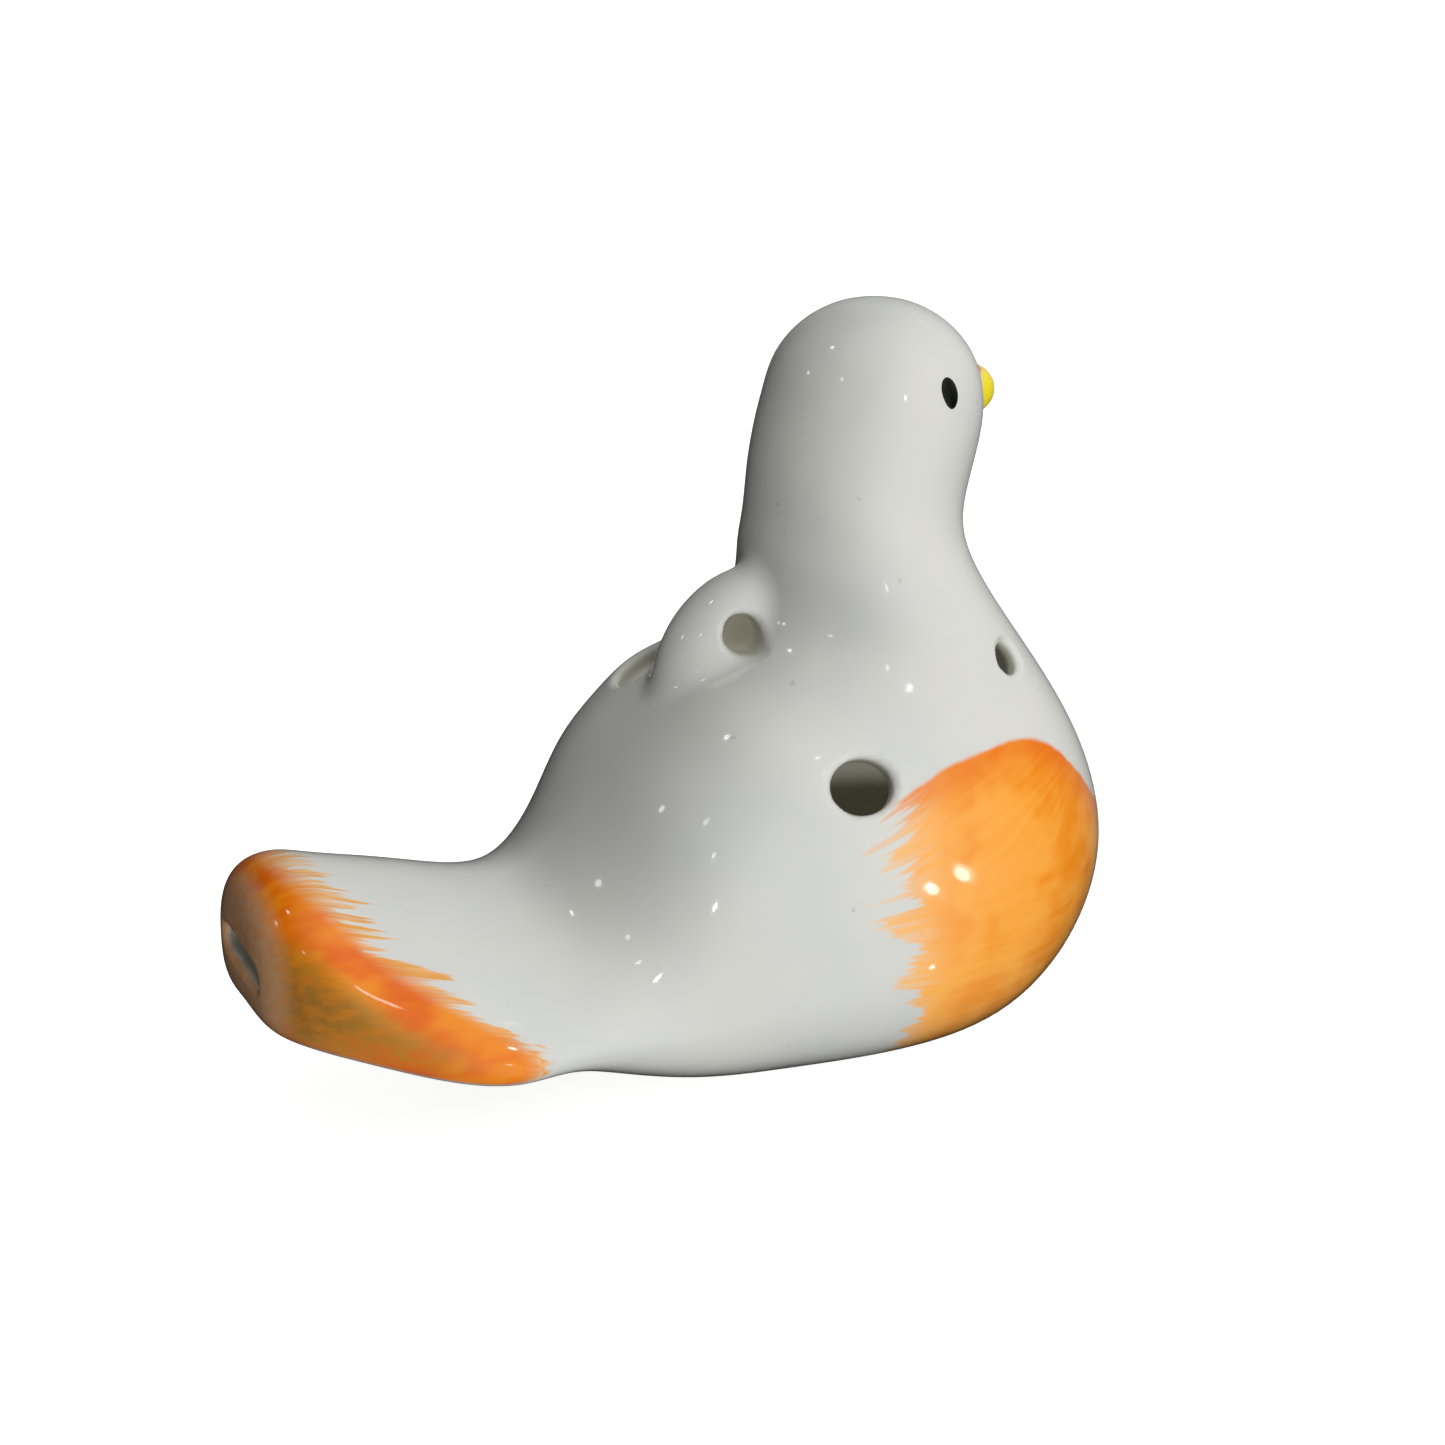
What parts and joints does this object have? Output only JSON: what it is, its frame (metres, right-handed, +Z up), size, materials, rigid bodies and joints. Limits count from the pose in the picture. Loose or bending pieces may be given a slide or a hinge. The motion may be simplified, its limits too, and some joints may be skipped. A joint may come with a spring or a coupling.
{
  "type": "bird-shaped ceramic ocarina",
  "caption": "Hollow glazed ceramic vessel flute shaped as a sitting pigeon, blown through a slot in the tail, with finger holes and a lanyard lug.",
  "frame": {"origin": "centre of the bounding box's underside, on the surface that the belly stands on", "axes": "+X the way the bird faces, +Y to its left, +Z up"},
  "size_m": [0.1213, 0.0606, 0.1014],
  "materials": {
    "white_glaze": "glossy white glaze with a faint grey-green cast and an orange brushed breast patch",
    "tail_glaze": "glossy white glaze over brushed orange and ochre at the end of the tail",
    "bare_ceramic": "matt, trimmed edge with thin glaze",
    "beak_glaze": "glossy yellow with a small red dab at its root",
    "eye_enamel": "glossy black"
  },
  "bodies": {
    "root": {"right_shell": "white_glaze", "left_shell": "white_glaze", "tail_mouthpiece": "tail_glaze", "labium": "bare_ceramic", "lanyard_lug": "white_glaze", "beak": "beak_glaze", "eye_right": "eye_enamel", "eye_left": "eye_enamel"}
  },
  "joints": []
}
